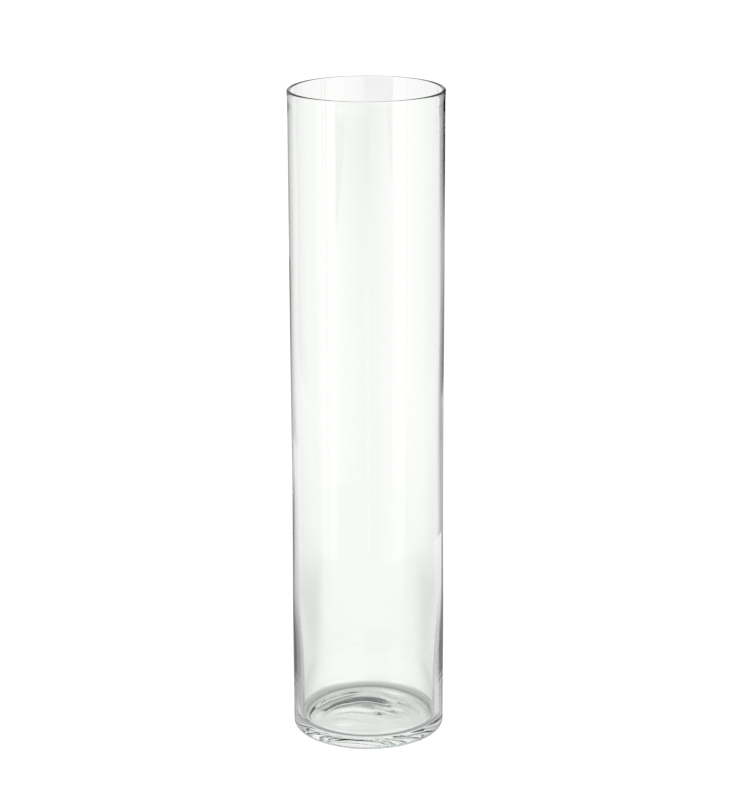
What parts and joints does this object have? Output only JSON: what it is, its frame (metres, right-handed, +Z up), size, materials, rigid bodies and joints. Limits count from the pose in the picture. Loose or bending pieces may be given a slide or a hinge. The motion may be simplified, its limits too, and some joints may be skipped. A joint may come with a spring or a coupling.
{
  "type": "glass cylinder vase",
  "caption": "Tall straight-sided clear glass cylinder vase with an open top, a rounded rim and a thick base, for cut flowers and branches.",
  "frame": {"origin": "centre of the foot ring, in the plane that the vase stands on", "axes": "+Z up along the axis of the cylinder, from the foot to the mouth; the vase is round, so +X and +Y are free"},
  "size_m": [0.1588, 0.1588, 0.68],
  "materials": {
    "clear_glass": "clear, fire-polished, very faintly green"
  },
  "bodies": {
    "root": {"glass_cylinder": "clear_glass"}
  },
  "joints": []
}
